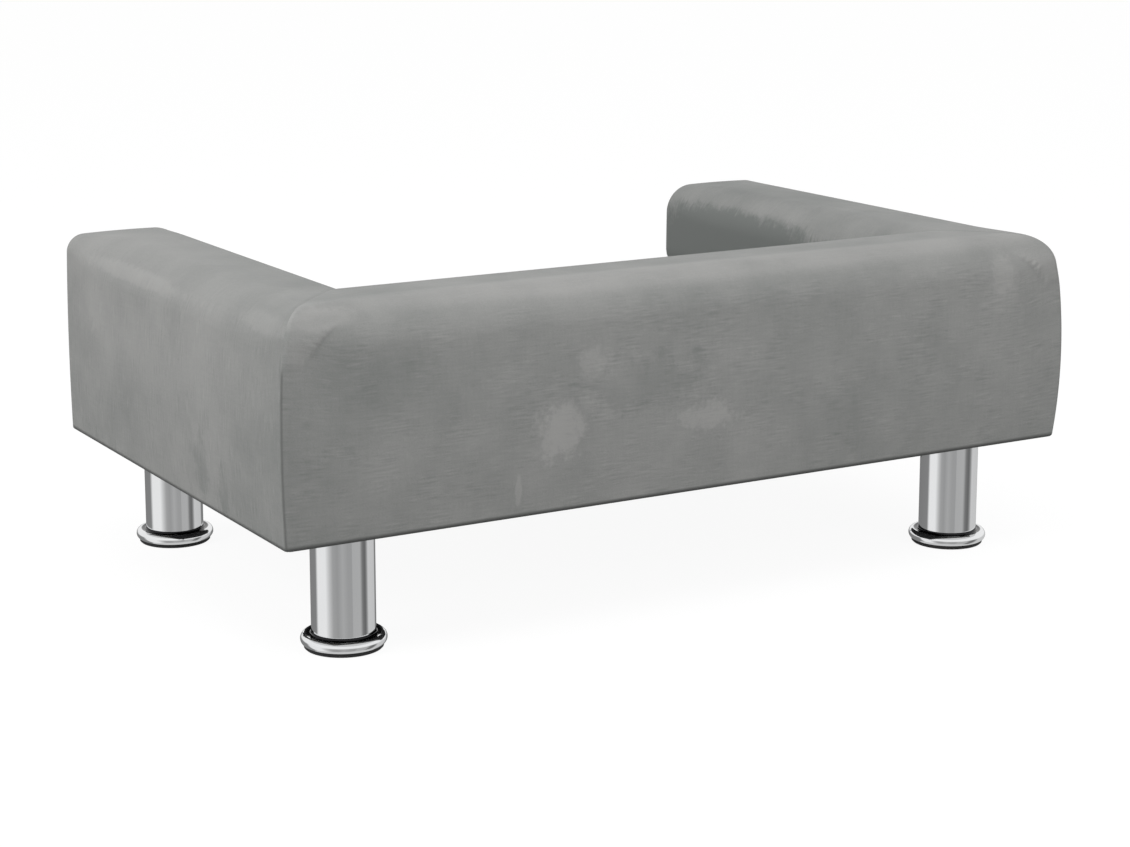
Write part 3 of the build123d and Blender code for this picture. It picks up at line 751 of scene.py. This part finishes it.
# Loose cushion: a foam slab in a boxed velvet cover, two panels sewn to a band, with drawn-in sides
# and a soft crown. The zip lies in an opening in the middle of the rear band. The top panel is a
# little large for its seam, so simulated cloth over the soft filling gives it its puckers.
band_low, band_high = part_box("cushion_band")
crown_low, crown_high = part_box("cushion_top_panel")
belly_low, belly_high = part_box("cushion_bottom_panel")
zip_low, zip_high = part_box("zip_tapes")
cushion_half, cushion_rear, cushion_front = band_high.x, band_high.y, band_low.y
cushion_corner = 0.030
cushion_draw = 0.005
zip_recess = 0.0048
arc_count, long_count, short_count = 7, 122, 84
cover_slack = 0.035
swell_cap = 0.0045
sewn_reach, sewn_rise = 0.0022, 0.0015
puff_reach, puff_share, soft_share = 0.022, 0.72, 0.28
belly_reach = 0.009
wide_hollow, fine_hollow = 0.0011, 0.0007
band_rows = (0, 0.0012, 0.0028, 0.006, 0.0092, 0.0096, 0.014, 0.0185)
band_rows += (0.023, 0.0274, 0.0278, 0.031, 0.0342, 0.0358, 0.037)
band_swell, band_seam_depth, band_seam_reach = 0.0016, 0.0011, 0.0016
rear_swell_share = 0.8
seam_dark, seam_dark_reach = 0.65, 0.0012
zip_end_room = 0.001
cloth_pressure, cloth_frames = 4, 20


def cushion_side(start, end, count, draw):
    """One side of the cushion's outline from the middle of one corner arc to the middle of the next:
    half an arc, a run that is drawn in towards the cushion by a parabola, and half an arc."""
    start, end = np.array(start), np.array(end)
    run = (end - start) / np.hypot(*(end - start))
    inwards = np.array([-run[1], run[0]])
    share = np.linspace(0, 1, count)
    straight = start + run * cushion_corner + share[:, None] * (end - start - 2 * run * cushion_corner)
    straight = straight + inwards * (draw * 4 * share * (1 - share))[:, None]
    angles = np.linspace(math.pi / 4, 0, arc_count)[:-1]
    bend = cushion_corner * np.stack([np.sin(angles), 1 - np.cos(angles)], -1)
    first = start + run * cushion_corner - bend[:, :1] * run + bend[:, 1:] * inwards
    last = end - run * cushion_corner + bend[::-1, :1] * run + bend[::-1, 1:] * inwards
    return np.concatenate([first, straight, last])


def cushion_outline():
    """The four sides of the cushion's outline: front, right, rear and left, anticlockwise from above."""
    x, front, rear = cushion_half, cushion_front, cushion_rear
    return (
        cushion_side((-x, front), (x, front), long_count, cushion_draw),
        cushion_side((x, front), (x, rear), short_count, cushion_draw),
        cushion_side((x, rear), (-x, rear), long_count, 0),
        cushion_side((-x, rear), (-x, front), short_count, cushion_draw),
    )


def spread(front, right, rear, left):
    """A sheet between four sides: each pair of facing sides drawn across, less the corners' own sheet."""
    rear, left = rear[::-1], left[::-1]
    u = np.linspace(0, 1, len(front))[None, :, None]
    v = np.linspace(0, 1, len(right))[:, None, None]
    sides = (1 - v) * front[None] + v * rear[None] + (1 - u) * left[:, None] + u * right[:, None]
    corners = (1 - v) * ((1 - u) * front[0] + u * front[-1]) + v * ((1 - u) * rear[0] + u * rear[-1])
    return sides - corners


def cushion_grids():
    """Top panel, bottom panel and band. The panels rise from the seam in a quick curve that flattens
    towards the middle, with shallow hollows, and the band bulges a little between its seams."""
    outline = cushion_outline()
    plan = spread(*outline)
    u = np.linspace(-1, 1, plan.shape[1])[None, :]
    v = np.linspace(-1, 1, plan.shape[0])[:, None]
    half_deep = (cushion_rear - cushion_front) / 2
    rim = np.minimum((1 - np.abs(u)) * cushion_half, (1 - np.abs(v)) * half_deep)
    puff = 1 - np.exp(-rim / puff_reach)
    soft = (1 - u**4) * (1 - v**4)
    hollows = wide_hollow * np.sin(7.3 * u + 1.1) * np.sin(4.6 * v + 0.4)
    hollows = hollows + fine_hollow * np.sin(15 * u * v + 2)
    rise = puff_share * puff + soft_share * soft
    high = crown_low.z + (crown_high.z - crown_low.z) * rise + hollows * soft
    low = belly_high.z - (belly_high.z - belly_low.z) * np.clip(rim / belly_reach, 0, 1)
    top = np.concatenate([plan, high[..., None]], -1)
    bottom = np.concatenate([plan, low[..., None]], -1)
    around = np.concatenate([side[:-1] for side in outline] + [outline[0][:1]])
    rows = np.array(band_rows)
    up = belly_high.z + rows
    share = rows / rows[-1]
    tangent = np.gradient(around, axis=0)
    tangent[0] = tangent[-1] = around[1] - around[-2]
    from_top = rows - rows[-1]
    seam = np.exp(-((rows / band_seam_reach) ** 2)) + np.exp(-((from_top / band_seam_reach) ** 2))
    swell = band_swell * np.sin(math.pi * share) ** 0.7 - band_seam_depth * seam
    band = around[None] + to_the_right(tangent)[None] * swell[:, None, None]
    rear = np.abs(around[:, 1] - cushion_rear) < 1e-6
    beside_zip = rear & (np.abs(around[:, 0]) <= zip_high.x + zip_end_room)
    slot = beside_zip[None] & ((up > zip_low.z) & (up < zip_high.z))[:, None]
    band[..., 1] -= np.where(rear[None], swell[:, None] * rear_swell_share + zip_recess * slot, 0)
    band = np.concatenate([band, np.repeat(up[:, None, None], len(around), 1)], -1)
    flat = 0 * band[..., 0]
    band_pattern = np.stack([lengths_along(around)[None] + flat, rows[:, None] + flat], -1)
    seams = seam_dark * np.exp(-((rim / seam_dark_reach) ** 2)) + 0 * plan[..., 0]
    band_seams = seam_dark * seam[:, None] + flat
    lines = np.concatenate([seams.ravel(), seams.ravel(), band_seams.ravel()])
    return top, bottom, band, [plan, plan, band_pattern], lines


def sew_to_band(panel, seam):
    """Puts a panel's four sides on the band's seam, which runs round from the front left corner."""
    deep, wide = panel.shape[:2]
    panel[0] = seam[:wide]
    panel[-1] = seam[wide + deep - 2 : 2 * wide + deep - 2][::-1]
    panel[:, 0] = seam[2 * wide + deep - 3 :][::-1]
    panel[:, -1] = seam[wide - 1 : wide + deep - 1]


top, bottom, band, cushion_pattern, cushion_seams = cushion_grids()
sew_to_band(top, band[-1])
sew_to_band(bottom, band[0])
cushion_lines = {"line": cushion_seams}
cushion = grids_to_object("cushion_velvet", [top, bottom, band], cushion_pattern, values=cushion_lines)


def swell(made, loose):
    """Lets the loose points of a cover swell as cloth over a soft filling while the rest stay sewn
    down, and keeps the result, with no point further from its start than the cap."""
    count = len(made.data.vertices)
    start = np.zeros(count * 3)
    made.data.vertices.foreach_get("co", start)
    start = start.reshape(-1, 3)
    held = np.flatnonzero(~loose(start))
    made.vertex_groups.new(name="sewn").add(held.tolist(), 1, "REPLACE")
    cloth = made.modifiers.new("cloth", "CLOTH")
    cloth.settings.vertex_group_mass = "sewn"
    cloth.settings.use_pressure = True
    cloth.settings.uniform_pressure_force = cloth_pressure
    cloth.settings.shrink_min = -cover_slack
    cloth.settings.effector_weights.gravity = 0
    for number in range(1, cloth_frames + 1):
        scene.frame_set(number)
    swollen = made.evaluated_get(bpy.context.evaluated_depsgraph_get()).to_mesh()
    end = np.zeros(count * 3)
    swollen.vertices.foreach_get("co", end)
    move = end.reshape(-1, 3) - start
    far = np.linalg.norm(move, axis=1, keepdims=True)
    made.modifiers.remove(cloth)
    made.vertex_groups.clear()
    made.data.vertices.foreach_set("co", (start + move / (1 + far / swell_cap)).ravel())
    made.data.update()
    scene.frame_set(1)


def on_top_panel(points):
    """The points of the top panel that aren't sewn to the band."""
    inside = np.abs(points[:, 0]) < cushion_half - cushion_draw - sewn_reach
    inside &= points[:, 1] < cushion_rear - sewn_reach
    inside &= points[:, 1] > cushion_front + cushion_draw + sewn_reach
    return inside & (points[:, 2] > band_high.z + sewn_rise)


swell(cushion, on_top_panel)
cushion.data.materials.append(velvet_finish("velvet_cushion", along_streaks))
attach(cushion, "seat_cushion")
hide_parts("cushion_top_panel", "cushion_bottom_panel", "cushion_band", "cushion_foam")


# Legs: chromed steel tubes with a spun foot flange, screwed up into the base board, each on a black
# rubber pad.
def dress(names, material):
    """The CAD nodes of one finish get its material."""
    for name in names:
        cad_nodes[name].data.materials.clear()
        cad_nodes[name].data.materials.append(material)


corners = ("front_left", "front_right", "rear_left", "rear_right")
leg_low, leg_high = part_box("leg_tube_rear_left")
front_leg_low, front_leg_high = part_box("leg_tube_front_left")
leg_x, rear_leg_y = (leg_low.x + leg_high.x) / 2, (leg_low.y + leg_high.y) / 2
front_leg_y = (front_leg_low.y + front_leg_high.y) / 2
dish_radius, dish_height, dish_blur = 0.0285, 0.0098, 0.0012
# Painted reflection of the dark underside in each flange's dish.
dish_painted_reflection = (0.03, 0.03, 0.032, 1)


def chrome_finish(name, dished=False):
    """Polished chrome plate with a faint ripple and smears. Dished, it has a painted dark reflection
    within a radius round each leg's axis and above a height, where the tube stands in the flange."""
    material, shade = finish(name)
    place = shade.place()
    smear = place.stretched((1, 1, 0.35)).noise(28.0, 3.0)
    specks = place.noise(900.0, 1.0)
    colour = smear.between((0.82, 0.83, 0.84, 1), (0.92, 0.925, 0.93, 1))
    if dished:
        place_x, place_y, place_z = place.parts()
        aside = shade.maths("ABSOLUTE", place_x) - leg_x
        rear_gap = shade.maths("ABSOLUTE", place_y - rear_leg_y)
        front_gap = shade.maths("ABSOLUTE", place_y - front_leg_y)
        ahead = shade.maths("MINIMUM", rear_gap, front_gap)
        far = shade.maths("SQRT", aside * aside + ahead * ahead)
        within = 1 - far.step(dish_radius - dish_blur, dish_radius)
        inside = within * place_z.step(dish_height - dish_blur, dish_height)
        colour = inside.between(colour, dish_painted_reflection)
    sockets = {
        "Base Color": colour,
        "Metallic": 1.0,
        "Roughness": 0.035 + smear * 0.05 + specks * 0.02,
        "Normal": place.noise(60.0, 1.0).bump(0.12, 0.0004),
    }
    shade.surface(sockets)
    return material


dress(["leg_tube_" + c for c in corners], chrome_finish("chrome_tube"))
dress(["foot_flange_" + c for c in corners], chrome_finish("chrome_flange", dished=True))

rubber, shade = finish("foot_rubber")
place = shade.place()
grain = place.noise(1400.0, 2.0)
dust = place.noise(45.0, 3.0)
rubber_colours = (0.012, 0.012, 0.013, 1), (0.035, 0.034, 0.033, 1)
grain.plain(rubber_colours, (0.62, 0.2), (0.3, 0.0003), tint=dust.step(0.45, 0.8))
dress(["foot_pad_" + c for c in corners], rubber)

# Zinc-plated steel: end plates in the legs, leg bolts, insert nuts, screws and staples.
zinc, shade = finish("zinc_steel")
zinc_colours = (0.40, 0.41, 0.42, 1), (0.62, 0.62, 0.60, 1)
shade.place().noise(220.0, 3.0).plain(zinc_colours, (0.28, 0.24), (0.2, 0.0002), metallic=1.0)
zinc_nodes = ["leg_end_plate_" + c for c in corners]
zinc_nodes += ["leg_bolts", "insert_nuts", "base_screws", "arm_screws", "hem_staples", "dust_cover_staples"]
dress(zinc_nodes, zinc)


# Frame: base board of birch plywood, pine rails and posts, and thin brown hardboard panels.
def board_finish(name, along, colours, rings, roughness):
    """Wood or board with its grain drawn out along one axis."""
    material, shade = finish(name)
    drawn = shade.place().stretched(along)
    grain = drawn.noise(rings, 4.0)
    pores = drawn.noise(rings * 9, 2.0)
    tint = (grain * 0.75 + pores * 0.25).step(0.3, 0.7)
    pores.plain(colours, (roughness, 0.2), (0.25, 0.0006), tint=tint)
    return material


plywood_colours = (0.42, 0.29, 0.17, 1), (0.62, 0.47, 0.31, 1)
pine_colours = (0.46, 0.29, 0.14, 1), (0.68, 0.49, 0.28, 1)
hardboard_colours = (0.16, 0.095, 0.055, 1), (0.27, 0.17, 0.10, 1)
plywood = board_finish("plywood", (0.12, 1, 3), plywood_colours, 22.0, 0.55)
dress(["base_board"], plywood)
pine_along_x = board_finish("pine_along_x", (0.1, 1, 1), pine_colours, 60.0, 0.55)
pine_along_y = board_finish("pine_along_y", (1, 0.1, 1), pine_colours, 60.0, 0.55)
pine_upright = board_finish("pine_upright", (1, 1, 0.1), pine_colours, 60.0, 0.55)
hardboard = board_finish("hardboard", (1, 1, 1), hardboard_colours, 240.0, 0.6)
dress(["back_bottom_rail", "back_top_rail", "front_rail"], pine_along_x)
dress(["back_posts", "left_arm_posts", "right_arm_posts"], pine_upright)
dress(["back_inner_panel", "back_outer_panel"], hardboard)
for side in ("left", "right"):
    dress([side + "_arm_bottom_rail", side + "_arm_top_rail"], pine_along_y)
    dress([side + "_arm_inner_panel", side + "_arm_outer_panel"], hardboard)

# Dust cover: black spun cloth with a pressed dot pattern, cut out round the legs and stapled under
# the base along its edges. Inside the staples it hangs a little slack.
dust_low, dust_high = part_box("dust_cover")
dust_thickness = 0.0005
dust_slack = 0.0024
dust_cell = 0.0045
dust_hole_room = 0.0006
dust_hole = (leg_high.x - leg_low.x) / 2 + dust_hole_room
stapled_border, slack_reach = 0.018, 0.07
legs = np.array([(side * leg_x, y) for side in (1, -1) for y in (rear_leg_y, front_leg_y)])


def dust_sheet():
    """The lower face of the sheet: a level grid whose points near a leg move onto the edge of its
    hole, sagging between the stapled borders in two soft waves, with the cells inside the holes left out."""
    wide = np.linspace(dust_low.x, dust_high.x, round((dust_high.x - dust_low.x) / dust_cell))
    deep = np.linspace(dust_low.y, dust_high.y, round((dust_high.y - dust_low.y) / dust_cell))
    x, y = np.meshgrid(wide, deep)
    places = np.stack([x, y], -1)
    offsets = places[:, :, None] - legs
    away = np.linalg.norm(offsets, axis=-1)
    nearest = np.argmin(away, -1)[..., None]
    gap = np.take_along_axis(away, nearest, -1)
    centre = legs[nearest[..., 0]]
    on_edge = gap < dust_hole + 0.5 * dust_cell
    places = np.where(on_edge, centre + (places - centre) * dust_hole / np.maximum(gap, 1e-6), places)
    sideways = np.minimum(x - dust_low.x, dust_high.x - x)
    endways = np.minimum(y - dust_low.y, dust_high.y - y)
    inside = np.minimum(sideways, endways) - stapled_border
    waves = 0.8 + 0.2 * np.sin(17 * x + 5) * np.sin(23 * y)
    slack = dust_slack * smooth(inside / slack_reach) * waves
    points = np.concatenate([places, (dust_low.z - slack)[..., None]], -1)
    quads = grid_faces(len(deep), len(wide), 0)
    return points.reshape(-1, 3), quads[~on_edge.ravel()[quads].all(1)]


dust_points, dust_quads = dust_sheet()
dust_mesh = bpy.data.meshes.new("dust_cover_cloth")
dust_mesh.from_pydata(dust_points.tolist(), [], dust_quads.tolist())
work = bmesh.new()
work.from_mesh(dust_mesh)
bmesh.ops.delete(work, geom=[v for v in work.verts if not v.link_faces], context="VERTS")
bmesh.ops.recalc_face_normals(work, faces=work.faces)
if work.faces[:][0].normal.z > 0:
    bmesh.ops.reverse_faces(work, faces=work.faces)
bmesh.ops.solidify(work, geom=work.faces[:], thickness=dust_thickness)
bmesh.ops.recalc_face_normals(work, faces=work.faces)
work.to_mesh(dust_mesh)
work.free()
dust = bpy.data.objects.new("dust_cover_cloth", dust_mesh)
scene.collection.objects.link(dust)
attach(dust, "sofa")
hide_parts("dust_cover")
dust_cloth, shade = finish("dust_cloth")
place = shade.place()
dots = shade.node("TexVoronoi", {}, {"Vector": place, "Scale": 900.0})
fibres = place.noise(700.0, 3.0)
pressed = dots.step(0.15, 0.45)
sockets = {
    "Base Color": (pressed * 0.6 + fibres * 0.4).between((0.008, 0.008, 0.009, 1), (0.03, 0.03, 0.032, 1)),
    "Roughness": 0.7 + fibres * 0.2,
    "Normal": pressed.bump(0.4, 0.0003),
}
shade.surface(sockets)
dust.data.materials.append(dust_cloth)

# Zip: woven grey tapes, a nylon coil on each, nickel stops, slider and pull tab.
tape, shade = finish("zip_tape")
weave = shade.place().stretched((1.0, 1.0, 2.2)).noise(900.0, 2.0)
weave.plain(((0.10, 0.10, 0.10, 1), (0.2, 0.2, 0.195, 1)), (0.75, 0.15), (0.4, 0.0003))
dress(["zip_tapes"], tape)
coil, shade = finish("zip_coil")
turns = shade.node("TexWave", {}, {"Vector": shade.place(), "Scale": 260.0})
turns.plain(((0.07, 0.07, 0.07, 1), (0.22, 0.22, 0.215, 1)), (0.35, 0.2), (0.6, 0.0006))
dress(["zip_chains"], coil)
nickel, shade = finish("nickel")
nickel_colours = (0.55, 0.53, 0.50, 1), (0.74, 0.72, 0.69, 1)
shade.place().noise(300.0, 3.0).plain(nickel_colours, (0.2, 0.2), metallic=1.0)
dress(["zip_stops", "zip_slider", "zip_pull"], nickel)
